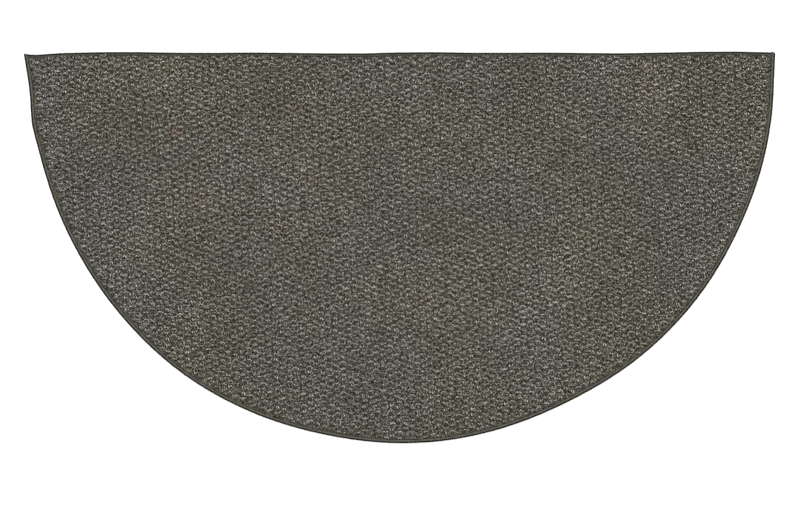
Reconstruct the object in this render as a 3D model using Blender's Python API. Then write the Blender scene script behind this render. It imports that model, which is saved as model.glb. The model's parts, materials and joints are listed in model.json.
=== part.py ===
"""Half round hearth rug: a cut blank of loop pile carpet with a serged yarn edge.

Metres, +Z up. The origin is on the floor under the centre of the rug's box. The straight edge runs
along X on the +Y side, next to the hearth, and the curved edge faces -Y, into the room.
"""

import math

import bmesh
import bpy
import numpy as np

MM = 0.001

# Driving sizes of the cut shape
ARC_RADIUS = 604.4 * MM
STRAIGHT_ABOVE_ARC_CENTRE = 29.9 * MM
CORNER_SOFTENING = 3.0 * MM

# How far the hand guided edge strays from the drawn shape. Degrees run clockwise from +X round the
# front, so that 90 is the middle of the curve.
ARC_WANDER = (
    # degrees, outward mm
    (-4.0, 2.0),
    (-1.5, 2.4),
    (0.5, 0.8),
    (6.0, 0.8),
    (12.0, 1.0),
    (24.0, 0.1),
    (38.0, 1.3),
    (50.0, 0.3),
    (63.0, -2.8),
    (78.0, -0.5),
    (84.0, 0.4),
    (90.0, 0.5),
    (102.0, -0.3),
    (114.0, 1.6),
    (126.0, 2.8),
    (140.0, 0.4),
    (156.0, -1.3),
    (168.0, -0.4),
    (172.5, 2.5),
    (175.0, 0.8),
    (178.6, 2.6),
    (181.6, 8.7),
    (184.0, 8.5),
)
STRAIGHT_WANDER = (
    # mm along from the arc's centre, mm up
    (-620.0, -3.4),
    (-602.0, -3.9),
    (-585.0, -4.2),
    (-566.0, -2.6),
    (-550.0, -0.8),
    (-520.0, 0.2),
    (-455.0, 1.0),
    (-330.0, -0.5),
    (-250.0, 0.2),
    (-165.0, -0.5),
    (-70.0, -1.3),
    (20.0, 0.9),
    (130.0, -0.3),
    (235.0, 0.1),
    (355.0, -1.1),
    (480.0, 1.3),
    (550.0, 1.6),
    (592.0, 0.3),
    (620.0, 0.5),
)

# How finely the outline is drawn
ARC_STEPS = 92
STRAIGHT_STEPS = 20
CORNER_STEPS = 4

# The pile blank. Its rim is pressed down to a thin tongue, which the serging yarn wraps.
PILE_TOP = 9.0 * MM
TONGUE_TOP = 5.0 * MM
TONGUE_UNDERSIDE = 2.0 * MM
FITTING_GAP = 0.3 * MM
RIM_LIFT_REACH = 24.0 * MM

# The serged edge, a roll of yarn wraps with the blank's tongue in it
ROLL_HALF_WIDTH = 3.9 * MM
ROLL_TOP = 7.0 * MM
ROLL_AXIS_HEIGHT = 3.3 * MM
YARN_WALL = 1.7 * MM
ROLL_STEPS = 12

# Where the straight edge's run of serging stops, so that the curve's run passes it at each corner
RUN_END_INSET = 9.0 * MM
CUTTER_REACH = 11.8 * MM


def read_table(rows, at):
    """The value of a two column table at a place, on a smooth curve through its rows."""
    places = np.array([row[0] for row in rows])
    values = np.array([row[1] for row in rows])
    slopes = np.gradient(values, places)
    at = np.clip(at, places[0], places[-1])
    low = np.clip(np.searchsorted(places, at, side="right") - 1, 0, len(rows) - 2)
    span = places[low + 1] - places[low]
    t = (at - places[low]) / span
    rise = t * t * (3 - 2 * t)
    lead = t * (1 - t) ** 2 * span
    lag = -t * t * (1 - t) * span
    return values[low] * (1 - rise) + values[low + 1] * rise + slopes[low] * lead + slopes[low + 1] * lag


def arc_point(degrees, inset):
    """A point of the curved edge, moved in towards the arc's centre by inset."""
    radius = ARC_RADIUS + read_table(ARC_WANDER, degrees) * MM - inset
    angle = math.radians(degrees)
    return np.array([radius * math.cos(angle), -radius * math.sin(angle)])


def straight_point(x, inset):
    """A point of the straight edge, moved in towards the front by inset."""
    wander = read_table(STRAIGHT_WANDER, x / MM) * MM
    return np.array([x, STRAIGHT_ABOVE_ARC_CENTRE + wander - inset])


def corner_degrees(side, inset):
    """Where the curve meets the straight edge: side is 1 at the right corner and -1 at the left."""
    above = 0.0
    for _ in range(12):
        degrees = -above if side > 0 else 180 + above
        point = arc_point(degrees, inset)
        height = straight_point(point[0], inset)[1]
        above = math.degrees(math.asin(height / np.linalg.norm(point)))
    return -above if side > 0 else 180 + above


def softened(before, corner, after):
    """The points that round off a corner, from the first point to the last."""
    shares = np.linspace(0, 1, CORNER_STEPS + 1)
    return [before * (1 - s) ** 2 + corner * 2 * s * (1 - s) + after * s * s for s in shares]


def outline(inset):
    """The rug's outline, moved in by inset, clockwise from above, starting at the right corner."""
    right = corner_degrees(1, inset)
    left = corner_degrees(-1, inset)
    soft_degrees = math.degrees(CORNER_SOFTENING / ARC_RADIUS)
    right_tip = arc_point(right, inset)
    left_tip = arc_point(left, inset)
    right_along = straight_point(right_tip[0] - CORNER_SOFTENING, inset)
    left_along = straight_point(left_tip[0] + CORNER_SOFTENING, inset)
    curve_degrees = np.linspace(right + soft_degrees, left - soft_degrees, ARC_STEPS + 1)
    curve = [arc_point(d, inset) for d in curve_degrees]
    straight_x = np.linspace(left_along[0], right_along[0], STRAIGHT_STEPS + 1)
    straight = [straight_point(x, inset) for x in straight_x]
    right_corner = softened(right_along, right_tip, curve[0])
    left_corner = softened(curve[-1], left_tip, left_along)
    return np.array(right_corner[:-1] + curve[:-1] + left_corner[:-1] + straight[:-1])


def box_centre():
    """The middle of the outline's box, which becomes the origin."""
    points = outline(0.0)
    return (points.min(axis=0) + points.max(axis=0)) / 2


CENTRE = box_centre()


def cloth_material(name, colour, roughness):
    """A Principled BSDF for yarn, in the colour that the rug shows."""
    material = bpy.data.materials.new(name)
    material.use_nodes = True
    shader = material.node_tree.nodes["Principled BSDF"]
    shader.inputs["Base Color"].default_value = (*colour, 1.0)
    shader.inputs["Roughness"].default_value = roughness
    shader.inputs["Metallic"].default_value = 0.0
    return material


def loft(name, section, material, closed):
    """A solid that carries a section of (inset, height) rows round the whole outline.

    A closed section makes a ring. An open one makes a slab: its first row bounds the underside and
    its last row bounds the top.
    """
    mesh_builder = bmesh.new()
    rings = []
    for inset, height in section:
        places = outline(inset) - CENTRE
        rings.append([mesh_builder.verts.new((x, y, height)) for x, y in places])
    pairs = list(zip(rings, rings[1:]))
    if closed:
        pairs.append((rings[-1], rings[0]))
    for lower, upper in pairs:
        for i, corner in enumerate(lower):
            j = (i + 1) % len(lower)
            mesh_builder.faces.new((corner, lower[j], upper[j], upper[i]))
    if not closed:
        mesh_builder.faces.new(rings[0])
        mesh_builder.faces.new(rings[-1])
    bmesh.ops.recalc_face_normals(mesh_builder, faces=mesh_builder.faces)
    mesh = bpy.data.meshes.new(name)
    mesh_builder.to_mesh(mesh)
    mesh_builder.free()
    mesh.materials.append(material)
    mesh.shade_smooth()
    mesh.set_sharp_from_angle(angle=math.radians(40))
    solid = bpy.data.objects.new(name, mesh)
    bpy.context.scene.collection.objects.link(solid)
    return solid


def blank_section():
    """The pile blank's profile, from its underside over the wrapped tongue to the top of the loops."""
    wall = 2 * ROLL_HALF_WIDTH + FITTING_GAP
    tip = YARN_WALL + FITTING_GAP
    return (
        (RIM_LIFT_REACH, 0.0),
        (wall, TONGUE_UNDERSIDE),
        (tip, TONGUE_UNDERSIDE),
        (tip, TONGUE_TOP),
        (wall, TONGUE_TOP),
        (wall + 0.2 * MM, PILE_TOP - 2.0 * MM),
        (wall + 1.3 * MM, PILE_TOP - 0.6 * MM),
        (wall + 4.4 * MM, PILE_TOP),
    )


def roll_section():
    """The serging's profile: a flat footed ellipse with a slot, open to the rug, for the tongue."""
    slot_top = TONGUE_TOP + FITTING_GAP
    slot_foot = TONGUE_UNDERSIDE - FITTING_GAP
    half_height = ROLL_TOP - ROLL_AXIS_HEIGHT
    upper_lip = math.asin((slot_top - ROLL_AXIS_HEIGHT) / half_height)
    lower_lip = 2 * math.pi - math.asin((ROLL_AXIS_HEIGHT - slot_foot) / half_height)
    rows = []
    for angle in np.linspace(upper_lip, lower_lip, ROLL_STEPS + 1):
        inset = ROLL_HALF_WIDTH * (1 + math.cos(angle))
        height = max(0.0, ROLL_AXIS_HEIGHT + half_height * math.sin(angle))
        rows.append((inset, height))
    rows.append((YARN_WALL, slot_foot))
    rows.append((YARN_WALL, slot_top))
    return rows


def run_cutter(name, grow):
    """A box round the straight edge between the two corners, hidden, which parts the two runs."""
    right = arc_point(corner_degrees(1, 0.0), RUN_END_INSET)[0] - CENTRE[0] + grow
    left = arc_point(corner_degrees(-1, 0.0), RUN_END_INSET)[0] - CENTRE[0] - grow
    edge = STRAIGHT_ABOVE_ARC_CENTRE - CENTRE[1]
    back = edge + CUTTER_REACH
    front = edge - CUTTER_REACH
    mesh_builder = bmesh.new()
    bmesh.ops.create_cube(mesh_builder, size=1.0)
    size = (right - left, back - front, 2 * CUTTER_REACH)
    bmesh.ops.scale(mesh_builder, vec=size, verts=mesh_builder.verts)
    middle = ((right + left) / 2, (back + front) / 2, 0.0)
    bmesh.ops.translate(mesh_builder, vec=middle, verts=mesh_builder.verts)
    mesh = bpy.data.meshes.new(name)
    mesh_builder.to_mesh(mesh)
    mesh_builder.free()
    cutter = bpy.data.objects.new(name, mesh)
    cutter.display_type = "WIRE"
    cutter.hide_render = True
    bpy.context.scene.collection.objects.link(cutter)
    return cutter


def serged_run(name, cutter, operation, material):
    """One run of the serged edge: the ring of wraps, with the other run's stretch cut away."""
    run = loft(name, roll_section(), material, closed=True)
    cut = run.modifiers.new("run end", "BOOLEAN")
    cut.operation = operation
    cut.solver = "EXACT"
    cut.object = cutter
    return run


for old in list(bpy.data.objects):
    bpy.data.objects.remove(old)

# Finishes
loop_wool = cloth_material("heather grey wool loops", (0.112, 0.104, 0.088), 0.95)
edge_wool = cloth_material("dark grey serging wool", (0.082, 0.077, 0.066), 0.9)

# The carpet blank, cut to the half round
loft("pile_field", blank_section(), loop_wool, closed=False)

# The serging, worked in one run along the straight edge and one round the curve
straight_stretch = run_cutter("straight_stretch", 0.0)
grown_stretch = run_cutter("grown_stretch", FITTING_GAP)
serged_run("serging_straight", straight_stretch, "INTERSECT", edge_wool)
serged_run("serging_curve", grown_stretch, "DIFFERENCE", edge_wool)
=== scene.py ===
# %% [markdown]
# # A half round hearth rug
#
# The rug is a half round cut from heathered grey loop pile carpet, with yarn overcast round its cut
# edge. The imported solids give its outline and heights. This file gives it what the eye sees: rows of
# loops, the ground that they stand on, and the wraps of the serging.

# %% Load the solids
import json
import math

import bmesh
import bpy
import numpy as np
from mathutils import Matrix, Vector

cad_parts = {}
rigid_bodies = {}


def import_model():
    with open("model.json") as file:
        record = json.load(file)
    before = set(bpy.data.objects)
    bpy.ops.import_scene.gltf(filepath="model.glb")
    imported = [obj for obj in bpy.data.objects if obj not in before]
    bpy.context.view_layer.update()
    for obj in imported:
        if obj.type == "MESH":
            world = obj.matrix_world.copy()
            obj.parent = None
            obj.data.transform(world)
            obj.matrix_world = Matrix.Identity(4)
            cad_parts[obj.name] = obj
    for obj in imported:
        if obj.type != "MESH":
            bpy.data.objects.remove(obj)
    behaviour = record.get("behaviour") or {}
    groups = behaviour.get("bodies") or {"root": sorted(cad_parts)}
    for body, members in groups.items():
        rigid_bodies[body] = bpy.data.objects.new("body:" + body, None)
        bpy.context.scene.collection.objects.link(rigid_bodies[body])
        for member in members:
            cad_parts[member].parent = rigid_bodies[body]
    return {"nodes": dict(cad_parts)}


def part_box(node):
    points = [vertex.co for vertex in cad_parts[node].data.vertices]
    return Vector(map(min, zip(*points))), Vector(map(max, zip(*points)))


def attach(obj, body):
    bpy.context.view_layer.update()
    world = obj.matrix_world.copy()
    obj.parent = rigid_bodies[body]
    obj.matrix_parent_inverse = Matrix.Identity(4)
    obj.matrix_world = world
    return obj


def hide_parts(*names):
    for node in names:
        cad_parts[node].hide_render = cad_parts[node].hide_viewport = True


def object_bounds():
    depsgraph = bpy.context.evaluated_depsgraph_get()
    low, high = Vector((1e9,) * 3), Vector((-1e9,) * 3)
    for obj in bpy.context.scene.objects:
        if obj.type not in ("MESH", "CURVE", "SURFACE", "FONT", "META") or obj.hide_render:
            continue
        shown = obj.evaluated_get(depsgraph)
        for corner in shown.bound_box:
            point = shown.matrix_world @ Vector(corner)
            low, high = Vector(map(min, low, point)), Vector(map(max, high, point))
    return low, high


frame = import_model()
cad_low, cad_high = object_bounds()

MM = 0.001
nodes = frame["nodes"]
print("solids:", sorted(nodes), "box", [round(v / MM, 1) for v in (*cad_low, *cad_high)])

# %% [markdown]
# The camera comes first, because it says how large a pixel is on the rug. The photograph looks
# straight down from far above, so a long lens sits over the middle of the picture. One pixel of the
# 800 across covers 1.62 mm of rug, which is about a third of one row of loops.

# %% Camera
IMAGE_WIDTH_PX = 800
PIXEL = 1.6228 * MM
PICTURE_CENTRE = (0.4 * MM, -29.3 * MM)
OUTLINE_HEIGHT = 3.3 * MM

camera_data = bpy.data.cameras.new("straight down")
camera_data.lens = 85.0
camera_data.sensor_width = 36.0
distance = IMAGE_WIDTH_PX * PIXEL * camera_data.lens / camera_data.sensor_width
camera = bpy.data.objects.new("straight down", camera_data)
camera.location = (*PICTURE_CENTRE, OUTLINE_HEIGHT + distance)
camera_data.clip_end = 50.0
bpy.context.scene.collection.objects.link(camera)
bpy.context.scene.camera = camera
print("camera", round(distance, 3), "m above the rug's edge")

# %% [markdown]
# Two helpers serve every cell below. Colours are written as the hex values that a colour picker
# shows, and Blender calculates in linear light, so one function turns them. The other adds a node,
# with its settings and the values or links of its inputs.


# %% Helpers for colours and nodes
def linear(hex_colour):
    """A linear RGBA colour from an sRGB hex value."""
    shares = [int(hex_colour[i : i + 2], 16) / 255 for i in (1, 3, 5)]
    return (*[s / 12.92 if s <= 0.04045 else ((s + 0.055) / 1.055) ** 2.4 for s in shares], 1.0)


def add_node(tree, kind, inputs=None, **settings):
    """Adds a node. inputs maps an input's name or number to a value or to another node's output."""
    node = tree.nodes.new(kind)
    for name, value in settings.items():
        setattr(node, name, value)
    for key, value in (inputs or {}).items():
        if isinstance(value, bpy.types.NodeSocket):
            tree.links.new(value, node.inputs[key])
        else:
            node.inputs[key].default_value = value
    return node


# %% [markdown]
# The carpet blank's solid has rings of corners at known heights, and they trace the rug's outline
# where it matters: the tip of its pressed tongue, which the serging wraps, and the foot of the pile.
# Reading them from the solid keeps the yarn on the real outline, with all its unevenness.

# %% Read the outlines from the blank
TONGUE_TOP = 5.0 * MM
TONGUE_FOOT = 2.0 * MM
PILE_SHOULDER = 7.0 * MM
NEAR = 0.05 * MM

blank = bmesh.new()
blank.from_mesh(nodes["pile_field"].data)
bmesh.ops.remove_doubles(blank, verts=blank.verts, dist=0.001 * MM)
blank.normal_update()


def ring(corners):
    """Corners as a closed ring in order, clockwise seen from above."""
    places = np.array([corner.co[:2] for corner in corners])
    return places[np.argsort(-np.arctan2(places[:, 1], places[:, 0]))]


tip_corners = set()
for face in blank.faces:
    heights = [corner.co.z for corner in face.verts]
    if min(heights) > TONGUE_FOOT - NEAR and max(heights) < TONGUE_TOP + NEAR and abs(face.normal.z) < 0.1:
        tip_corners.update(corner for corner in face.verts if corner.co.z > TONGUE_TOP - NEAR)
tongue_tip = ring(tip_corners)
pile_foot = ring([c for c in blank.verts if abs(c.co.z - PILE_SHOULDER) < NEAR])
blank.free()
print("tongue tip", len(tongue_tip), "corners, pile foot", len(pile_foot), "corners")


def moved_out(path, by):
    """A closed clockwise path moved outwards."""
    ahead = np.roll(path, -1, axis=0) - np.roll(path, 1, axis=0)
    ahead /= np.linalg.norm(ahead, axis=1)[:, None]
    return path + by * np.stack([-ahead[:, 1], ahead[:, 0]], axis=1)


# %% Helper that makes an object from a mesh
def put(name, places, edges, faces):
    """A new mesh object at the origin."""
    mesh = bpy.data.meshes.new(name)
    mesh.from_pydata([tuple(p) for p in places], edges, faces)
    mesh.update()
    thing = bpy.data.objects.new(name, mesh)
    bpy.context.scene.collection.objects.link(thing)
    return thing


# %% [markdown]
# Heathered wool is spun from fleece of several shades that were blended before carding, so one yarn
# holds oatmeal, grey and nearly black fibres. Three such strands, or plies, are twisted into the thick
# yarn of the pile. The material follows each loop's own UV map, where U runs along the yarn and V
# round it: V tells the plies apart and finds the seam between two of them, which gets painted shade
# of the crease there. Wool scatters light from a million scales and ends, which gives a rough,
# slightly bright rimmed surface: high roughness, low specular and a little sheen.

# %% Wool materials
PLIES = 2
PLY_STRAY = 0.45
FLECK_LENGTH_MM = 2.0
FLECK_WIDTH_MM = 1.3
YARN_GIRTH_MM = 24.0
WOOL_IOR = 1.55
DYE_PATCH = 180 * MM
DYE_LIGHT = 0.6
DYE_BLUE = 0.55
DYE_RED = 0.11
STAINS = (
    # centre x and y, half width and half depth, in millimetres, and the share of red, green and blue left
    (-361.5, 188.5, 11.0, 9.0, (1.22, 0.92, 0.92)),
    (-360.0, 189.4, 4.2, 3.4, (0.62, 0.24, 0.24)),
    (39.3, -86.1, 10.0, 2.6, (1.02, 0.88, 0.72)),
    (552.0, 309.0, 9.0, 2.4, (1.00, 0.82, 0.62)),
)


def wool(name, dark, middle, light, seam_depth, loop_share, ply_share, fleck_share, gain, shade_along=(), depth=()):
    """A heathered, plied wool yarn. The three shares say how much of the tone changes from loop to
    loop, from ply to ply and from fleck to fleck. seam_depth is the painted shade in the crease between
    two plies. shade_along is painted shade by place, in rows of centimetres along the yarn and the
    share of the light left. depth is painted shade by height: where it is darkest, where it is unshaded,
    and the share of the light left where it is darkest. A yarn with depth also carries the slow drift of
    the dye over the rug, and its stains."""
    material = bpy.data.materials.new(name)
    material.use_nodes = True
    tree = material.node_tree
    shader = tree.nodes["Principled BSDF"]
    uv = add_node(tree, "ShaderNodeUVMap", uv_map="UVMap").outputs[0]
    along_and_round = add_node(tree, "ShaderNodeSeparateXYZ", {0: uv})
    along = along_and_round.outputs[0]
    around = along_and_round.outputs[1]
    loop = add_node(tree, "ShaderNodeAttribute", attribute_name="loop_shade").outputs["Fac"]
    patch = add_node(tree, "ShaderNodeAttribute", attribute_name="patch_shade").outputs["Fac"]
    ply_place = add_node(tree, "ShaderNodeMath", {0: around, 1: float(PLIES)}, operation="MULTIPLY").outputs[0]
    ply = add_node(tree, "ShaderNodeMath", {0: ply_place}, operation="FLOOR").outputs[0]
    across = add_node(tree, "ShaderNodeMath", {0: ply_place}, operation="FRACT").outputs[0]
    loop_number = add_node(tree, "ShaderNodeMath", {0: loop, 1: 977.0}, operation="MULTIPLY").outputs[0]
    key = add_node(tree, "ShaderNodeCombineXYZ", {0: ply, 1: loop_number}).outputs[0]
    stray = add_node(tree, "ShaderNodeTexWhiteNoise", {"Vector": key}, noise_dimensions="2D").outputs["Value"]
    stray = add_node(tree, "ShaderNodeMath", {0: stray, 1: PLY_STRAY}, operation="MULTIPLY").outputs[0]
    ply_tone = add_node(tree, "ShaderNodeMath", {0: ply, 1: 1.0 - PLY_STRAY, 2: stray}, operation="MULTIPLY_ADD").outputs[0]
    fleck_u = add_node(tree, "ShaderNodeMath", {0: along, 1: 10.0 / FLECK_LENGTH_MM}, operation="MULTIPLY").outputs[0]
    fleck_v = add_node(tree, "ShaderNodeMath", {0: around, 1: YARN_GIRTH_MM / FLECK_WIDTH_MM}, operation="MULTIPLY").outputs[0]
    fleck_at = add_node(tree, "ShaderNodeCombineXYZ", {0: fleck_u, 1: fleck_v, 2: loop_number}).outputs[0]
    fleck = add_node(
        tree,
        "ShaderNodeTexNoise",
        {"Vector": fleck_at, "Scale": 1.0, "Detail": 2.0, "Roughness": 0.6},
        noise_dimensions="3D",
    ).outputs[0]
    tone = add_node(tree, "ShaderNodeMath", {0: loop, 1: loop_share}, operation="MULTIPLY").outputs[0]
    tone = add_node(tree, "ShaderNodeMath", {0: ply_tone, 1: ply_share, 2: tone}, operation="MULTIPLY_ADD").outputs[0]
    tone = add_node(tree, "ShaderNodeMath", {0: fleck, 1: fleck_share, 2: tone}, operation="MULTIPLY_ADD").outputs[0]
    centre = 0.5 * (loop_share + ply_share + fleck_share) - 0.5
    tone = add_node(tree, "ShaderNodeMath", {0: tone, 1: centre}, operation="SUBTRACT").outputs[0]
    ramp = add_node(tree, "ShaderNodeValToRGB", {0: tone})
    ramp.color_ramp.elements[0].position = 0.12
    ramp.color_ramp.elements[0].color = linear(dark)
    ramp.color_ramp.elements[1].position = 0.88
    ramp.color_ramp.elements[1].color = linear(light)
    ramp.color_ramp.elements.new(0.5).color = linear(middle)
    # Painted shade in the crease between two plies: the yarn darkens towards the seam, by seam_depth.
    off_middle = add_node(tree, "ShaderNodeMath", {0: across, 1: 0.5}, operation="SUBTRACT").outputs[0]
    off_middle = add_node(tree, "ShaderNodeMath", {0: off_middle}, operation="ABSOLUTE").outputs[0]
    seam = add_node(
        tree,
        "ShaderNodeMapRange",
        {"Value": off_middle, 1: 0.22, 2: 0.5, 3: 1.0, 4: 1.0 - seam_depth},
        interpolation_type="SMOOTHSTEP",
    ).outputs[0]
    shade = add_node(tree, "ShaderNodeMath", {0: seam, 1: patch}, operation="MULTIPLY").outputs[0]
    shade = add_node(tree, "ShaderNodeMath", {0: shade, 1: gain}, operation="MULTIPLY").outputs[0]
    # Painted shade by place along the yarn, from the rows of shade_along.
    if shade_along:
        reach = shade_along[-1][0]
        share = add_node(tree, "ShaderNodeMath", {0: along, 1: reach}, operation="DIVIDE").outputs[0]
        painted_wrap_shade = add_node(tree, "ShaderNodeValToRGB", {0: share})
        stops = painted_wrap_shade.color_ramp.elements
        stops[1].position = 1.0
        for place, left in shade_along[1:-1]:
            stops.new(place / reach)
        for stop, (place, left) in zip(stops, shade_along):
            stop.color = (left, left, left, 1.0)
        shade = add_node(tree, "ShaderNodeMath", {0: shade, 1: painted_wrap_shade.outputs[0]}, operation="MULTIPLY").outputs[0]
    # Painted shade by height: the yarn darkens towards the ground, where the shade between the loops falls.
    if depth:
        where = add_node(tree, "ShaderNodeTexCoord").outputs["Object"]
        height = add_node(tree, "ShaderNodeSeparateXYZ", {0: where}).outputs[2]
        painted_depth_shade = add_node(
            tree,
            "ShaderNodeMapRange",
            {"Value": height, 1: depth[0], 2: depth[1], 3: depth[2], 4: 1.0},
            interpolation_type="SMOOTHSTEP",
        ).outputs[0]
        shade = add_node(tree, "ShaderNodeMath", {0: shade, 1: painted_depth_shade}, operation="MULTIPLY").outputs[0]
        dye = add_node(tree, "ShaderNodeTexNoise", {"Vector": where, "Scale": 1.0 / DYE_PATCH, "Detail": 2.0}).outputs[1]
        dye = add_node(tree, "ShaderNodeSeparateXYZ", {0: dye})
        light = add_node(tree, "ShaderNodeMath", {0: dye.outputs[0], 1: DYE_LIGHT, 2: 1 - DYE_LIGHT / 2}, operation="MULTIPLY_ADD").outputs[0]
        blue = add_node(tree, "ShaderNodeMath", {0: dye.outputs[1], 1: DYE_BLUE, 2: 1 - DYE_BLUE / 2}, operation="MULTIPLY_ADD").outputs[0]
        shade = add_node(tree, "ShaderNodeMath", {0: shade, 1: light}, operation="MULTIPLY").outputs[0]
        red = add_node(tree, "ShaderNodeMath", {0: dye.outputs[2], 1: DYE_RED, 2: 1 - DYE_RED / 2}, operation="MULTIPLY_ADD").outputs[0]
        tint = add_node(tree, "ShaderNodeCombineXYZ", {0: red, 1: 1.0, 2: blue}).outputs[0]
        for x, y, half_width, half_depth, left in STAINS:
            away = add_node(tree, "ShaderNodeVectorMath", {0: where, 1: (x * MM, y * MM, 0.0)}, operation="SUBTRACT").outputs[0]
            away = add_node(tree, "ShaderNodeVectorMath", {0: away, 1: (half_width * MM, half_depth * MM, 1.0)}, operation="DIVIDE").outputs[0]
            away = add_node(tree, "ShaderNodeVectorMath", {0: away}, operation="LENGTH").outputs[1]
            near = add_node(tree, "ShaderNodeMapRange", {"Value": away, 1: 0.4, 2: 1.0, 3: 1.0, 4: 0.0}, interpolation_type="SMOOTHSTEP").outputs[0]
            change = tuple(share - 1 for share in left)
            stain = add_node(tree, "ShaderNodeVectorMath", {0: near, 1: change, 2: (1.0, 1.0, 1.0)}, operation="MULTIPLY_ADD").outputs[0]
            tint = add_node(tree, "ShaderNodeVectorMath", {0: tint, 1: stain}, operation="MULTIPLY").outputs[0]
    colour = add_node(tree, "ShaderNodeVectorMath", {0: ramp.outputs[0], "Scale": shade}, operation="SCALE").outputs[0]
    if depth:
        colour = add_node(tree, "ShaderNodeVectorMath", {0: colour, 1: tint}, operation="MULTIPLY").outputs[0]
    tree.links.new(colour, shader.inputs["Base Color"])
    fibre_at = add_node(tree, "ShaderNodeVectorMath", {0: fleck_at, 1: (0.6, 5.0, 1.0)}, operation="MULTIPLY").outputs[0]
    fibre = add_node(tree, "ShaderNodeTexNoise", {"Vector": fibre_at, "Scale": 1.0, "Detail": 3.0}).outputs[0]
    bump = add_node(tree, "ShaderNodeBump", {"Height": fibre, "Strength": 0.6, "Distance": 0.5 * MM}).outputs[0]
    tree.links.new(bump, shader.inputs["Normal"])
    shader.inputs["Roughness"].default_value = 0.92
    shader.inputs["IOR"].default_value = WOOL_IOR
    shader.inputs["Specular IOR Level"].default_value = 0.06
    shader.inputs["Sheen Weight"].default_value = 0.01
    shader.inputs["Sheen Roughness"].default_value = 0.6
    return material


# Painted shade on the serging: each wrap is darkened by place along it, nearly black on its outer flank and at its
# inner end, where the roll's own shadow and the groove beside the pile fall, with the crown and the underside left
# lighter.
CURVE_SHADE = (
    # centimetres along a wrap, share of the light left
    (0.00, 0.60),
    (0.52, 0.60),
    (0.68, 0.04),
    (1.00, 0.04),
    (1.08, 0.55),
    (1.14, 0.80),
    (1.26, 0.82),
    (1.31, 0.38),
    (1.35, 0.04),
)
# The same painted shade for the narrower roll of the straight edge.
STRAIGHT_SHADE = (
    (0.00, 0.55),
    (0.50, 0.55),
    (0.64, 0.05),
    (0.94, 0.05),
    (1.04, 0.56),
    (1.12, 0.58),
    (1.21, 0.40),
    (1.30, 0.05),
)
# Painted shade in the pile: the wool darkens from 8.2 mm down to 5.3 mm above the floor, to 5 % of its light, where
# the shade between the loops falls.
PILE_PAINTED_SHADE = (5.3 * MM, 8.2 * MM, 0.05)
pile_wool = wool("heathered grey pile wool", "#554f3e", "#918d82", "#b3b0a9", 0.45, 0.1, 0.5, 3.4, 1.20, depth=PILE_PAINTED_SHADE)
# The low loops are the same yarn as the high ones; their copy of the wool has slightly darker colours, painted shade
# of their lower place in the pile, and a slightly higher gain.
low_wool = wool("heathered grey pile wool, low loops", "#534d3c", "#8b877c", "#adaaa3", 0.45, 0.1, 0.5, 3.4, 1.24, depth=PILE_PAINTED_SHADE)
# The two serging wools are one yarn, each with the painted shade of its own roll.
curve_wool = wool("charcoal grey serging wool", "#3a382e", "#68665a", "#8e8b7d", 0.5, 0.2, 0.2, 0.9, 0.72, CURVE_SHADE)
straight_wool = wool("charcoal grey serging wool, straight edge", "#3a382e", "#68665a", "#8e8b7d", 0.5, 0.2, 0.2, 0.9, 0.72, STRAIGHT_SHADE)
print("wool yarns:", pile_wool.name, "|", low_wool.name, "|", curve_wool.name, "|", straight_wool.name)

# %% [markdown]
# Seen close, the pile is a crowd of small crinkled loops about 5 mm long, and four of them share one
# stitch of the pattern. Each is an arch of yarn that comes up out of the ground, leans over and goes
# down again, so a tube swept along three short steps is enough. The stitches differ in the turn,
# length, height and thickness of their loops. A few of each are made and shared out at random, which
# costs far less than making thousands.


# %% One loop of yarn
def yarn_tube(name, path, radii, lobe, sides, twist, flatten, material, ply=None):
    """A closed tube of plied yarn along a path in the XZ or YZ plane. lobe is how far the plies stand
    out, as a share of the radius, and twist is the turn at each step. A radius of nothing makes a point. A tube that is one ply of a yarn
    gets its number, which sets its own third of the UV map's V."""
    path = np.array(path)
    ahead = np.gradient(path, axis=0)
    ahead /= np.linalg.norm(ahead, axis=1)[:, None]
    spread = path.max(axis=0) - path.min(axis=0)
    side = np.array([0.0, 1.0, 0.0]) if spread[0] > spread[1] else np.array([1.0, 0.0, 0.0])
    lengths = np.concatenate([[0], np.cumsum(np.linalg.norm(np.diff(path, axis=0), axis=1))])
    corners = []
    for i, (place, direction, radius) in enumerate(zip(path, ahead, radii)):
        out = np.cross(side, direction)
        across = np.cross(direction, out)
        for k in range(sides):
            angle = 2 * math.pi * k / sides + twist * i
            reach = radius * (1 + (lobe if k % 2 else -lobe))
            corners.append(place + across * reach * math.cos(angle) + out * reach * flatten * math.sin(angle))
    faces = []
    marks = []
    for i in range(len(path) - 1):
        for k in range(sides):
            j = (k + 1) % sides
            faces.append((i * sides + k, i * sides + j, (i + 1) * sides + j, (i + 1) * sides + k))
            u0 = lengths[i] / (10 * MM)
            u1 = lengths[i + 1] / (10 * MM)
            v0, v1 = k / sides, (k + 1) / sides
            if ply is not None:
                v0, v1 = (ply + v0) / PLIES, (ply + v1) / PLIES
            marks += [(u0, v0), (u0, v1), (u1, v1), (u1, v0)]
    first = tuple(range(sides))
    last = tuple(range(len(corners) - 1, len(corners) - 1 - sides, -1))
    for cap in (first, last):
        faces.append(cap)
        marks += [(0.0, ((ply or 0) + 0.25) / PLIES)] * sides
    thing = put(name, corners, [], faces)
    uv = thing.data.uv_layers.new(name="UVMap")
    uv.data.foreach_set("uv", np.array(marks, dtype=np.float32).ravel())
    builder = bmesh.new()
    builder.from_mesh(thing.data)
    bmesh.ops.remove_doubles(builder, verts=builder.verts, dist=0.001 * MM)
    bmesh.ops.recalc_face_normals(builder, faces=builder.faces)
    builder.to_mesh(thing.data)
    builder.free()
    thing.data.shade_smooth()
    thing.data.materials.append(material)
    return thing


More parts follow.
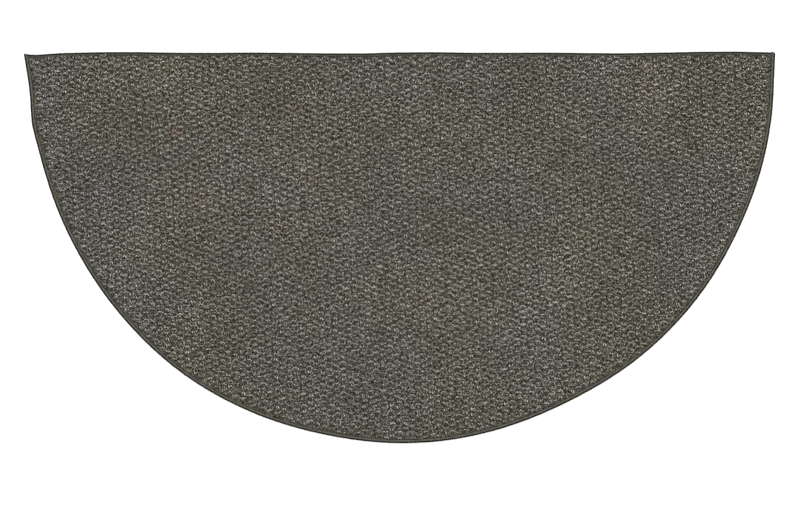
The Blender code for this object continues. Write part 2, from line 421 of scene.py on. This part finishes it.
HIGH_STITCH = 14.4 * MM
HIGH_CREST = 8.9 * MM
LOW_STITCH = 12.2 * MM
LOW_CREST = 7.7 * MM
GROUND_TOP = 4.6 * MM
LOOP_RADIUS = 1.08 * MM
LOOP_LENGTHS = (3.1 * MM, 4.9 * MM)
LOOP_YAW = math.radians(85)
LOOP_SIDEWAYS = 0.9 * MM
LOOP_DROP = 1.5 * MM
LOOP_STEPS = 3
LOOP_SIDES = 4


def arch(length, foot, crest, steps, fullness):
    """The middle line of a loop, along X, from foot to crest and back to foot."""
    angles = np.linspace(math.pi, 0, steps + 1)
    x = length / 2 * np.sign(np.cos(angles)) * np.abs(np.cos(angles)) ** fullness
    z = foot + (crest - foot) * np.sin(angles) ** fullness
    return np.stack([x, np.zeros_like(x), z], axis=1)


def joined(name, things):
    """Several mesh objects made one."""
    with bpy.context.temp_override(active_object=things[0], selected_editable_objects=things):
        bpy.ops.object.join()
    things[0].name = name
    return things[0]


def stitch_kinds(name, count, seed, stitch, crest, loops, material):
    """A collection of different stitches, each a row of small loops, hidden from the render."""
    chance = np.random.default_rng(seed)
    kinds = bpy.data.collections.new(name)
    for n in range(count):
        tubes = []
        drops = chance.permutation(loops) / (loops - 1) * LOOP_DROP
        girths = 0.86 + 0.28 * chance.permutation(loops) / (loops - 1)
        for m in range(loops):
            radius = LOOP_RADIUS * girths[m]
            length = chance.uniform(*LOOP_LENGTHS)
            top = crest - radius - drops[m]
            path = arch(length, GROUND_TOP - 0.6 * MM, top, LOOP_STEPS, chance.uniform(0.6, 0.85))
            yaw = chance.uniform(-1, 1) * LOOP_YAW
            path[:, :2] = path[:, :2] @ np.array([[math.cos(yaw), math.sin(yaw)], [-math.sin(yaw), math.cos(yaw)]])
            path[:, 0] += ((m + 0.5) / loops - 0.5) * (stitch - 3 * MM) + chance.uniform(-1, 1) * MM
            path[:, 1] += (-1) ** (m + n) * LOOP_SIDEWAYS * chance.uniform(0.2, 1.6)
            radii = radius * np.array([0.0, 1.0, 1.0, 0.0])
            ply = m % PLIES
            tubes.append(yarn_tube(f"{name}_{n}_{m}", path, radii, 0.0, LOOP_SIDES, chance.uniform(-0.3, 0.3), 1.0, material, ply))
        kind = joined(f"{name}_{n}", tubes)
        bpy.context.scene.collection.objects.unlink(kind)
        kinds.objects.link(kind)
    print(name, count, "kinds of", len(kind.data.polygons), "faces")
    return kinds


high_loops = stitch_kinds("high_loops", 16, 3, HIGH_STITCH, HIGH_CREST, 5, pile_wool)
low_loops = stitch_kinds("low_loops", 12, 5, LOW_STITCH, LOW_CREST, 4, low_wool)

# %% [markdown]
# The loops stand in rows 4.8 mm apart, and each row is shifted half a step against its neighbours,
# like bricks. The whole lattice is turned by 1.9 degrees, because the blank was cut a little askew to
# the rows, and the rows wander as a tufted cloth does. Geometry Nodes make them: points counted out
# row by row, cleared away outside the pile's outline, and one loop put on each. Where a loop would
# hang over the edge, it is shortened, as a shorn edge is.


# %% A tree that lays rows of loops
def new_tree(name, rows):
    """A geometry tree with named inputs, given as (name, socket kind), and its inputs' outputs."""
    tree = bpy.data.node_groups.new(name, "GeometryNodeTree")
    for label, kind in (("Geometry", "NodeSocketGeometry"), *rows):
        tree.interface.new_socket(name=label, in_out="INPUT", socket_type=kind)
    tree.interface.new_socket(name="Geometry", in_out="OUTPUT", socket_type="NodeSocketGeometry")
    return tree, tree.nodes.new("NodeGroupInput").outputs


NUMBER = "NodeSocketFloat"
WHOLE = "NodeSocketInt"
pile_tree, given = new_tree(
    "rows of loops",
    (
        ("Field", "NodeSocketObject"),
        ("Loops", "NodeSocketCollection"),
        ("Rows", WHOLE),
        ("Loops per row", WHOLE),
        ("Row pitch", NUMBER),
        ("Loop pitch", NUMBER),
        ("Slide", NUMBER),
        ("Turn", NUMBER),
        ("Loop length", NUMBER),
        ("Front", NUMBER),
        ("Back", NUMBER),
        ("Wander", NUMBER),
        ("Jitter", NUMBER),
        ("Wool", "NodeSocketMaterial"),
        ("Seed", WHOLE),
    ),
)


def calc(operation, *values):
    """The output of a Math node in the tree of the pile's rows."""
    return add_node(pile_tree, "ShaderNodeMath", dict(enumerate(values)), operation=operation).outputs[0]


count = calc("MULTIPLY", given["Rows"], given["Loops per row"])
points = add_node(pile_tree, "GeometryNodePoints", {"Count": count})
index = add_node(pile_tree, "GeometryNodeInputIndex").outputs[0]
row = calc("FLOOR", calc("DIVIDE", calc("ADD", index, 0.5), given["Loops per row"]))
column = calc("SUBTRACT", index, calc("MULTIPLY", row, given["Loops per row"]))
half_step = calc("MULTIPLY", calc("MODULO", row, 2.0), 0.5)
x_steps = calc("ADD", calc("ADD", calc("SUBTRACT", column, calc("MULTIPLY", given["Loops per row"], 0.5)), half_step), given["Slide"])
y_steps = calc("SUBTRACT", row, calc("MULTIPLY", given["Rows"], 0.5))
x_place = calc("MULTIPLY", x_steps, given["Loop pitch"])
y_place = calc("MULTIPLY", y_steps, given["Row pitch"])
lattice = add_node(pile_tree, "ShaderNodeCombineXYZ", {0: x_place, 1: y_place}).outputs[0]
turned = add_node(pile_tree, "ShaderNodeVectorRotate", {"Vector": lattice, "Angle": given["Turn"]}, rotation_type="Z_AXIS").outputs[0]
drift_noise = add_node(pile_tree, "ShaderNodeTexNoise", {"Vector": turned, "Scale": 9.0, "Detail": 1.0}).outputs["Color"]
drift = add_node(pile_tree, "ShaderNodeVectorMath", {0: drift_noise, 1: (0.5, 0.5, 0.5)}, operation="SUBTRACT").outputs[0]
drift = add_node(pile_tree, "ShaderNodeVectorMath", {0: drift, "Scale": given["Wander"]}, operation="SCALE").outputs[0]
shake = add_node(pile_tree, "FunctionNodeRandomValue", {0: (-1.0, -0.5, 0.0), 1: (1.0, 0.5, 0.0), "Seed": given["Seed"]}, data_type="FLOAT_VECTOR").outputs[0]
shake = add_node(pile_tree, "ShaderNodeVectorMath", {0: shake, "Scale": given["Jitter"]}, operation="SCALE").outputs[0]
place = add_node(pile_tree, "ShaderNodeVectorMath", {0: turned, 1: drift}, operation="ADD").outputs[0]
place = add_node(pile_tree, "ShaderNodeVectorMath", {0: place, 1: shake}, operation="ADD").outputs[0]
place = add_node(pile_tree, "ShaderNodeVectorMath", {0: place, 1: (1.0, 1.0, 0.0)}, operation="MULTIPLY").outputs[0]
laid = add_node(pile_tree, "GeometryNodeSetPosition", {"Geometry": points.outputs[0], "Position": place}).outputs[0]

field = add_node(pile_tree, "GeometryNodeObjectInfo", {"Object": given["Field"]}).outputs["Geometry"]
position = add_node(pile_tree, "GeometryNodeInputPosition").outputs[0]
home = add_node(pile_tree, "GeometryNodeProximity", {"Geometry": field, "Sample Position": position}, target_element="FACES")
astray = calc("GREATER_THAN", home.outputs["Distance"], calc("MULTIPLY", given["Row pitch"], 0.55))
laid = add_node(pile_tree, "GeometryNodeDeleteGeometry", {"Geometry": laid, "Selection": astray}).outputs[0]
laid = add_node(pile_tree, "GeometryNodeSetPosition", {"Geometry": laid, "Position": home.outputs["Position"]}).outputs[0]
run = add_node(pile_tree, "ShaderNodeVectorRotate", {"Vector": (1.0, 0.0, 0.0), "Angle": given["Turn"]}, rotation_type="Z_AXIS").outputs[0]
half = add_node(pile_tree, "ShaderNodeVectorMath", {0: run, "Scale": calc("MULTIPLY", given["Loop length"], 0.5)}, operation="SCALE").outputs[0]
overhangs = []
for operation in ("SUBTRACT", "ADD"):
    end = add_node(pile_tree, "ShaderNodeVectorMath", {0: position, 1: half}, operation=operation).outputs[0]
    near = add_node(pile_tree, "GeometryNodeProximity", {"Geometry": field, "Sample Position": end}, target_element="FACES")
    overhangs.append(near.outputs["Distance"])
slide_back = calc("MULTIPLY", calc("SUBTRACT", overhangs[0], overhangs[1]), 0.5)
shortened = calc("DIVIDE", calc("ADD", overhangs[0], overhangs[1]), given["Loop length"])
share = calc("SUBTRACT", 1.0, shortened)
rim = add_node(pile_tree, "GeometryNodeProximity", {"Geometry": field, "Sample Position": position}, target_element="EDGES").outputs["Distance"]
y_now = add_node(pile_tree, "ShaderNodeSeparateXYZ", {0: position}).outputs[1]
too_short = calc("LESS_THAN", share, 0.3)
in_front = calc("LESS_THAN", y_now, given["Front"])
behind = calc("GREATER_THAN", y_now, given["Back"])
unwanted = calc("MAXIMUM", calc("MAXIMUM", in_front, behind), too_short)
kept = add_node(pile_tree, "GeometryNodeDeleteGeometry", {"Geometry": laid, "Selection": unwanted}).outputs[0]
shift = add_node(pile_tree, "ShaderNodeVectorMath", {0: run, "Scale": slide_back}, operation="SCALE").outputs[0]

stretch = add_node(pile_tree, "FunctionNodeRandomValue", {0: (0.95, 0.93, 0.97), 1: (1.05, 1.07, 1.03), "Seed": calc("ADD", given["Seed"], 1.0)}, data_type="FLOAT_VECTOR").outputs[0]
shoulder = add_node(pile_tree, "ShaderNodeMapRange", {"Value": rim, 1: 0.0, 2: 0.006, 3: 0.95, 4: 1.0}, interpolation_type="SMOOTHSTEP").outputs[0]
fit = add_node(pile_tree, "ShaderNodeCombineXYZ", {0: share, 1: 1.0, 2: shoulder}).outputs[0]
scale = add_node(pile_tree, "ShaderNodeVectorMath", {0: stretch, 1: fit}, operation="MULTIPLY").outputs[0]
lean = add_node(pile_tree, "FunctionNodeRandomValue", {0: (-0.12, -0.05, -0.15), 1: (0.12, 0.05, 0.15), "Seed": calc("ADD", given["Seed"], 2.0)}, data_type="FLOAT_VECTOR").outputs[0]
row_turn = add_node(pile_tree, "ShaderNodeCombineXYZ", {2: given["Turn"]}).outputs[0]
pose = add_node(pile_tree, "ShaderNodeVectorMath", {0: lean, 1: row_turn}, operation="ADD").outputs[0]
slid = add_node(pile_tree, "GeometryNodeSetPosition", {"Geometry": kept, "Offset": shift}).outputs[0]
kinds = add_node(pile_tree, "GeometryNodeCollectionInfo", {"Collection": given["Loops"], "Separate Children": True, "Reset Children": True}).outputs[0]
pick = add_node(pile_tree, "FunctionNodeRandomValue", {"Min": 0, "Max": 99, "Seed": calc("ADD", given["Seed"], 3.0)}, data_type="INT")
loops = add_node(
    pile_tree,
    "GeometryNodeInstanceOnPoints",
    {"Points": slid, "Instance": kinds, "Pick Instance": True, "Instance Index": pick.outputs[2], "Rotation": pose, "Scale": scale},
).outputs[0]
loop_tone = add_node(pile_tree, "FunctionNodeRandomValue", {"Seed": calc("ADD", given["Seed"], 4.0)}, data_type="FLOAT").outputs[1]
toned = add_node(pile_tree, "GeometryNodeStoreNamedAttribute", {"Geometry": loops, "Name": "loop_shade", "Value": loop_tone}, data_type="FLOAT", domain="INSTANCE").outputs[0]
patch_noise = add_node(pile_tree, "ShaderNodeTexNoise", {"Vector": position, "Scale": 22.0, "Detail": 2.0}).outputs[0]
patch_tone = add_node(pile_tree, "ShaderNodeMapRange", {"Value": patch_noise, 1: 0.3, 2: 0.7, 3: 0.96, 4: 1.04}).outputs[0]
toned = add_node(pile_tree, "GeometryNodeStoreNamedAttribute", {"Geometry": toned, "Name": "patch_shade", "Value": patch_tone}, data_type="FLOAT", domain="INSTANCE").outputs[0]
real = add_node(pile_tree, "GeometryNodeRealizeInstances", {"Geometry": toned}).outputs[0]
spun = add_node(pile_tree, "GeometryNodeSetMaterial", {"Geometry": real, "Material": given["Wool"]}).outputs[0]
add_node(pile_tree, "NodeGroupOutput", {0: spun})
print("pile tree", len(pile_tree.nodes), "nodes")


# %% Helper that runs a tree
def grown(name, tree, values):
    """A new object that holds what a tree makes, as a plain mesh."""
    thing = put(name, [], [], [])
    modifier = thing.modifiers.new(name, "NODES")
    modifier.node_group = tree
    for socket in tree.interface.items_tree:
        if socket.in_out == "INPUT" and socket.name in values:
            modifier[socket.identifier] = values[socket.name]
    depsgraph = bpy.context.evaluated_depsgraph_get()
    mesh = bpy.data.meshes.new_from_object(thing.evaluated_get(depsgraph), depsgraph=depsgraph)
    thing.modifiers.remove(modifier)
    thing.data = mesh
    mesh.name = name
    triangles = sum(len(face.vertices) - 2 for face in mesh.polygons)
    print(name, triangles, "triangles")
    return thing


# %% Lay the pile
ROW_PITCH = 4.82 * MM
LOOP_PITCH = 21.8 * MM
LATTICE_TURN = math.radians(1.9)
STRIPS = 4
CURVE_OVERHANG = -1.7 * MM
STRAIGHT_OVERHANG = 0.8 * MM

front = pile_foot[:, 1].min()
back = pile_foot[:, 1].max()
region_outline = moved_out(pile_foot, CURVE_OVERHANG)
region_outline[region_outline[:, 1] > back - 8 * MM, 1] += STRAIGHT_OVERHANG - CURVE_OVERHANG
pile_region = put("pile_region", [(x, y, 0.0) for x, y in region_outline], [], [range(len(pile_foot))])
common = {
    "Field": pile_region,
    "Rows": 150,
    "Loops per row": 62,
    "Row pitch": ROW_PITCH,
    "Loop pitch": LOOP_PITCH,
    "Turn": LATTICE_TURN,
    "Wander": 3.0 * MM,
    "Jitter": 1.0 * MM,
}
edges = [front - 1 * MM, -0.17, -0.03, 0.125, back + 1 * MM]
pile = []
for n in range(STRIPS):
    strip = {"Front": float(edges[n]), "Back": float(edges[n + 1]), "Seed": 10 * n}
    high = {"Loops": high_loops, "Wool": pile_wool, "Slide": 0.0, "Loop length": HIGH_STITCH, **strip, **common}
    pile.append(grown(f"high_loops_strip_{n + 1}", pile_tree, high))
for n, (a, b) in enumerate(((0, 2), (2, 3), (3, 4))):
    strip = {"Front": float(edges[a]), "Back": float(edges[b]), "Seed": 100 + 10 * n}
    low = {"Loops": low_loops, "Wool": low_wool, "Slide": 0.5, "Loop length": LOW_STITCH, **strip, **common}
    pile.append(grown(f"low_loops_strip_{n + 1}", pile_tree, low))
bpy.data.objects.remove(pile_region)

# %% [markdown]
# Under the loops lies the ground: the backing that they are tufted through, with a woven scrim glued
# to its underside. It has the blank's own underside and tongue, so it is a copy of that solid with
# everything above the tongue pressed down to the height where the loops come out.

# %% Ground cloth
SCRIM_PITCH_MM = 3.0
FOOT_PITCH_MM = 1.7


def scrim_material():
    """Woven polypropylene and jute scrim set in latex: dull tan threads with a bump at each one."""
    material = bpy.data.materials.new("woven scrim backing")
    material.use_nodes = True
    tree = material.node_tree
    shader = tree.nodes["Principled BSDF"]
    where = add_node(tree, "ShaderNodeTexCoord").outputs["Object"]
    axes = add_node(tree, "ShaderNodeSeparateXYZ", {0: where})
    waves = []
    for axis, pitch in ((0, SCRIM_PITCH_MM), (1, SCRIM_PITCH_MM * 0.8)):
        turns = add_node(tree, "ShaderNodeMath", {0: axes.outputs[axis], 1: 2 * math.pi / (pitch * MM)}, operation="MULTIPLY").outputs[0]
        waves.append(add_node(tree, "ShaderNodeMath", {0: turns}, operation="SINE").outputs[0])
    thread = add_node(tree, "ShaderNodeMath", {0: waves[0], 1: waves[1]}, operation="MAXIMUM").outputs[0]
    grime = add_node(tree, "ShaderNodeTexNoise", {"Vector": where, "Scale": 60.0, "Detail": 4.0}).outputs[0]
    tone = add_node(tree, "ShaderNodeMath", {0: thread, 1: 0.3, 2: grime}, operation="MULTIPLY_ADD").outputs[0]
    ramp = add_node(tree, "ShaderNodeValToRGB", {0: tone})
    ramp.color_ramp.elements[0].position = 0.2
    ramp.color_ramp.elements[0].color = linear("#5f5749")
    ramp.color_ramp.elements[1].position = 0.9
    ramp.color_ramp.elements[1].color = linear("#a5987f")
    height = add_node(tree, "ShaderNodeMath", {0: axes.outputs[2], 1: TONGUE_FOOT + NEAR}, operation="LESS_THAN").outputs[0]
    # The top of the ground, seen between the loops, is a dark mottle: partly the backing and the yarn's feet, partly
    # painted shade of the deep gaps between the loops.
    mottle = add_node(tree, "ShaderNodeTexNoise", {"Vector": where, "Scale": 1 / (FOOT_PITCH_MM * MM), "Detail": 1.0}).outputs[0]
    feet_and_painted_shade = add_node(tree, "ShaderNodeValToRGB", {0: mottle})
    feet_and_painted_shade.color_ramp.elements[0].position = 0.43
    feet_and_painted_shade.color_ramp.elements[0].color = linear("#1d1b14")
    feet_and_painted_shade.color_ramp.elements[1].position = 0.60
    feet_and_painted_shade.color_ramp.elements[1].color = linear("#5f5b51")
    top = feet_and_painted_shade.outputs[0]
    colour = add_node(tree, "ShaderNodeMix", {0: height, 6: top, 7: ramp.outputs[0]}, data_type="RGBA").outputs[2]
    tree.links.new(colour, shader.inputs["Base Color"])
    bump = add_node(tree, "ShaderNodeBump", {"Height": thread, "Strength": 0.7, "Distance": 0.4 * MM}).outputs[0]
    tree.links.new(bump, shader.inputs["Normal"])
    shader.inputs["Roughness"].default_value = 0.95
    shader.inputs["Specular IOR Level"].default_value = 0.05
    return material


ground = put("ground_cloth", [], [], [])
builder = bmesh.new()
builder.from_mesh(nodes["pile_field"].data)
bmesh.ops.remove_doubles(builder, verts=builder.verts, dist=0.001 * MM)
for corner in builder.verts:
    corner.co.z = min(corner.co.z, GROUND_TOP)
builder.to_mesh(ground.data)
builder.free()
ground.data.materials.append(scrim_material())
print("ground cloth", len(ground.data.polygons), "faces")

# %% [markdown]
# The cut edge is serged: a machine carries thick yarn round and round it, so close that the wraps
# touch and make a roll. On the real rug the wraps lean, because the yarn moves on as it goes round.
# One wrap is an open ring of yarn, and a tree sets it at every step of a path that follows the tongue.
# The yarn runs along the straight edge first and then round the curve, and it is pulled tighter on
# the straight edge, where the roll is narrower.

# %% One wrap of the serging
WRAP_RADIUS = 1.2 * MM
WRAP_SPREAD = 1.25
WRAP_PITCH = 2.2 * MM
WRAP_LEAN = math.tan(math.radians(20))
CURVE_HALF_WIDTH = 3.7 * MM
STRAIGHT_HALF_WIDTH = 3.4 * MM
ROLL_TOP = 7.0 * MM


def wrap_kinds(name, count, seed, half_width):
    """A collection of different wraps. X runs along the edge, and Y out of the rug."""
    chance = np.random.default_rng(seed)
    kinds = bpy.data.collections.new(name)
    for n in range(count):
        angles = np.radians(np.linspace(-155, 155, 10))
        y = (half_width - WRAP_RADIUS) * np.sign(np.cos(angles)) * np.abs(np.cos(angles)) ** 0.8
        z = ROLL_TOP / 2 + (ROLL_TOP / 2 - WRAP_RADIUS) * np.sign(np.sin(angles)) * np.abs(np.sin(angles)) ** 0.8
        x = WRAP_LEAN * y + chance.uniform(-0.15, 0.15) * MM * np.sin(angles * 2)
        path = np.stack([x, y, z], axis=1)
        radii = WRAP_SPREAD * WRAP_RADIUS * chance.uniform(0.95, 1.03, len(path))
        kind = yarn_tube(f"{name}_{n}", path, radii, 0.0, 6, 0.0, 1 / WRAP_SPREAD, curve_wool)
        bpy.context.scene.collection.objects.unlink(kind)
        kinds.objects.link(kind)
    print(name, count, "kinds of", len(kind.data.polygons), "faces")
    return kinds


curve_wraps = wrap_kinds("curve_wraps", 6, 11, CURVE_HALF_WIDTH)
straight_wraps = wrap_kinds("straight_wraps", 6, 12, STRAIGHT_HALF_WIDTH)

# %% A tree that wraps a path
wrap_tree, given = new_tree(
    "wraps along a path",
    (("Path", "NodeSocketObject"), ("Wraps", "NodeSocketCollection"), ("Pitch", NUMBER), ("Unevenness", NUMBER), ("Light", NUMBER), ("Wool", "NodeSocketMaterial"), ("Seed", WHOLE)),
)
path_mesh = add_node(wrap_tree, "GeometryNodeObjectInfo", {"Object": given["Path"]}).outputs["Geometry"]
path_curve = add_node(wrap_tree, "GeometryNodeMeshToCurve", {"Mesh": path_mesh}).outputs[0]
stations = add_node(wrap_tree, "GeometryNodeResampleCurve", {"Curve": path_curve, "Length": given["Pitch"]}, mode="LENGTH").outputs[0]
heading = add_node(wrap_tree, "GeometryNodeInputTangent").outputs[0]
stance = add_node(wrap_tree, "FunctionNodeAxesToRotation", {"Primary Axis": (0.0, 0.0, 1.0), "Secondary Axis": heading}, primary_axis="Z", secondary_axis="X").outputs[0]
low_size = add_node(wrap_tree, "ShaderNodeMath", {0: 1.0, 1: given["Unevenness"]}, operation="SUBTRACT").outputs[0]
size = add_node(wrap_tree, "FunctionNodeRandomValue", {2: low_size, 3: 1.0, "Seed": given["Seed"]}, data_type="FLOAT").outputs[1]
pick = add_node(wrap_tree, "FunctionNodeRandomValue", {"Min": 0, "Max": 99, "Seed": given["Seed"]}, data_type="INT").outputs[2]
kinds = add_node(wrap_tree, "GeometryNodeCollectionInfo", {"Collection": given["Wraps"], "Separate Children": True, "Reset Children": True}).outputs[0]
wraps = add_node(
    wrap_tree,
    "GeometryNodeInstanceOnPoints",
    {"Points": stations, "Instance": kinds, "Pick Instance": True, "Instance Index": pick, "Rotation": stance, "Scale": size},
).outputs[0]
tone = add_node(wrap_tree, "FunctionNodeRandomValue", {"Seed": given["Seed"]}, data_type="FLOAT").outputs[1]
toned = add_node(wrap_tree, "GeometryNodeStoreNamedAttribute", {"Geometry": wraps, "Name": "loop_shade", "Value": tone}, data_type="FLOAT", domain="INSTANCE").outputs[0]
toned = add_node(wrap_tree, "GeometryNodeStoreNamedAttribute", {"Geometry": toned, "Name": "patch_shade", "Value": given["Light"]}, data_type="FLOAT", domain="INSTANCE").outputs[0]
real = add_node(wrap_tree, "GeometryNodeRealizeInstances", {"Geometry": toned}).outputs[0]
spun = add_node(wrap_tree, "GeometryNodeSetMaterial", {"Geometry": real, "Material": given["Wool"]}).outputs[0]
add_node(wrap_tree, "NodeGroupOutput", {0: spun})
print("wrap tree", len(wrap_tree.nodes), "nodes")

# %% Wrap both edges
TONGUE_INSET = 2.0 * MM
CORNER_POINTS = 3
CORNER_RISES = {"right": 0.3 * MM, "left": 1.8 * MM}
CORNER_PULLS = {"right": 1.1 * MM, "left": 1.5 * MM}
PULL_REACHES = {"right": 90 * MM, "left": 26 * MM}
LEFT_END_BENDS = ((-1.7 * MM, 55 * MM), (2.6 * MM, 24 * MM))
RUN_START = 3.6 * MM
RUN_END = 2.6 * MM


def path_object(name, path):
    """A path as a mesh of edges on the floor."""
    links = [(i, i + 1) for i in range(len(path) - 1)]
    return put(name, [(x, y, 0.0) for x, y in path], links, [])


def from_to(path, first, last):
    """The stretch of a closed path between two places, in order."""
    turned = np.roll(path, -first, axis=0)
    return turned[: (last - first) % len(path) + 1]


def evened(path, step):
    """The same path with its points a step apart."""
    along = np.concatenate([[0.0], np.cumsum(np.linalg.norm(np.diff(path, axis=0), axis=1))])
    places = np.linspace(0.0, along[-1], int(along[-1] / step) + 1)
    return np.column_stack([np.interp(places, along, path[:, axis]) for axis in (0, 1)])


def ease_end(path, end, shift, reach):
    """Bend the last stretch of a path, as long as the reach, so that its end moves by the shift."""
    nearness = np.clip(1 - np.linalg.norm(path - path[end], axis=1) / reach, 0, 1)
    path += nearness[:, None] ** 2 * np.array(shift)


right_corner = int(np.argmax(tongue_tip[:, 0] + tongue_tip[:, 1]))
left_corner = int(np.argmax(tongue_tip[:, 1] - tongue_tip[:, 0]))
run_low, run_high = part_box("serging_straight")
curve_path = from_to(moved_out(tongue_tip, TONGUE_INSET - CURVE_HALF_WIDTH), right_corner, left_corner)
curve_path = curve_path[CORNER_POINTS:-CORNER_POINTS]
for end, next_in, corner, side in ((0, 1, right_corner, "right"), (-1, -2, left_corner, "left")):
    heading = curve_path[end] - curve_path[next_in]
    rise = tongue_tip[corner, 1] + TONGUE_INSET - WRAP_RADIUS + CORNER_RISES[side] - curve_path[end, 1]
    curve_path[end] += heading * rise / heading[1]
    ease_end(curve_path, end, (-np.sign(curve_path[end, 0]) * CORNER_PULLS[side], 0.0), PULL_REACHES[side])
straight_axis = moved_out(tongue_tip, TONGUE_INSET - STRAIGHT_HALF_WIDTH)
straight_path = from_to(straight_axis, left_corner, right_corner)
inner = (straight_path[:, 0] > run_low[0]) & (straight_path[:, 0] < run_high[0])
ends_x = (run_low[0] - RUN_START, run_high[0] + RUN_END)
ends = [(x, np.interp(x, straight_path[:, 0], straight_path[:, 1])) for x in ends_x]
straight_path = evened(np.vstack([ends[0], straight_path[inner], ends[1]]), 4 * MM)
for rise, reach in LEFT_END_BENDS:
    ease_end(straight_path, 0, (0.0, rise), reach)
serging = []
for name, wraps_used, path, light, yarn, node in (
    ("straight_serging_wraps", straight_wraps, straight_path, 1.0, straight_wool, "serging_straight"),
    ("curved_serging_wraps", curve_wraps, curve_path, 1.0, curve_wool, "serging_curve"),
):
    guide = path_object(f"{name}_guide", path)
    piece = grown(name, wrap_tree, {"Path": guide, "Wraps": wraps_used, "Pitch": WRAP_PITCH, "Unevenness": 0.06, "Light": light, "Wool": yarn, "Seed": 7})
    bpy.data.objects.remove(guide)
    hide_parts(node)
    serging.append(piece)

# %% Clear away the kinds of loop and wrap, hang each piece on the rug's body, and hide the blank
for kinds in (high_loops, low_loops, curve_wraps, straight_wraps):
    for kind in list(kinds.objects):
        bpy.data.objects.remove(kind)
    bpy.data.collections.remove(kinds)
for piece in (ground, *pile, *serging):
    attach(piece, "root")
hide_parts("pile_field")

size = np.array(cad_high) - np.array(cad_low)
shape = moved_out(tongue_tip, TONGUE_INSET)

# %% [markdown]
# The floor is plain and nearly white, as the photograph's ground is. Its light is soft and comes
# mostly from beyond the straight and the curved edge, so two wide area lights stand there, and a
# white world fills the rest.

# %% Floor and light
floor = put("floor", [(-4, -4, 0), (4, -4, 0), (4, 4, 0), (-4, 4, 0)], [], [(0, 1, 2, 3)])
for corner in floor.data.vertices:
    corner.co.z = -0.2 * MM
paint = bpy.data.materials.new("matt white floor paint")
paint.use_nodes = True
paint.node_tree.nodes["Principled BSDF"].inputs["Base Color"].default_value = linear("#f7f7f7")
paint.node_tree.nodes["Principled BSDF"].inputs["Roughness"].default_value = 0.9
paint.node_tree.nodes["Principled BSDF"].inputs["Specular IOR Level"].default_value = 0.1
floor.data.materials.append(paint)

world = bpy.data.worlds.new("white studio")
world.use_nodes = True
world.node_tree.nodes["Background"].inputs["Color"].default_value = (1.0, 1.0, 1.0, 1.0)
world.node_tree.nodes["Background"].inputs["Strength"].default_value = 0.6
bpy.context.scene.world = world

SOFTBOXES = (
    # name, place, power in watts
    ("soft light beyond the straight edge", (0.0, 1.7, 2.6), 95.0),
    ("soft light beyond the curved edge", (0.0, -1.9, 2.6), 80.0),
)
for name, place, power in SOFTBOXES:
    light_data = bpy.data.lights.new(name, "AREA")
    light_data.shape = "RECTANGLE"
    light_data.size = 3.2
    light_data.size_y = 1.2
    light_data.energy = power
    light = bpy.data.objects.new(name, light_data)
    light.location = place
    light.rotation_mode = "QUATERNION"
    light.rotation_quaternion = (-Vector(place)).to_track_quat("-Z", "Y")
    bpy.context.scene.collection.objects.link(light)
bpy.context.scene.view_settings.view_transform = "Standard"
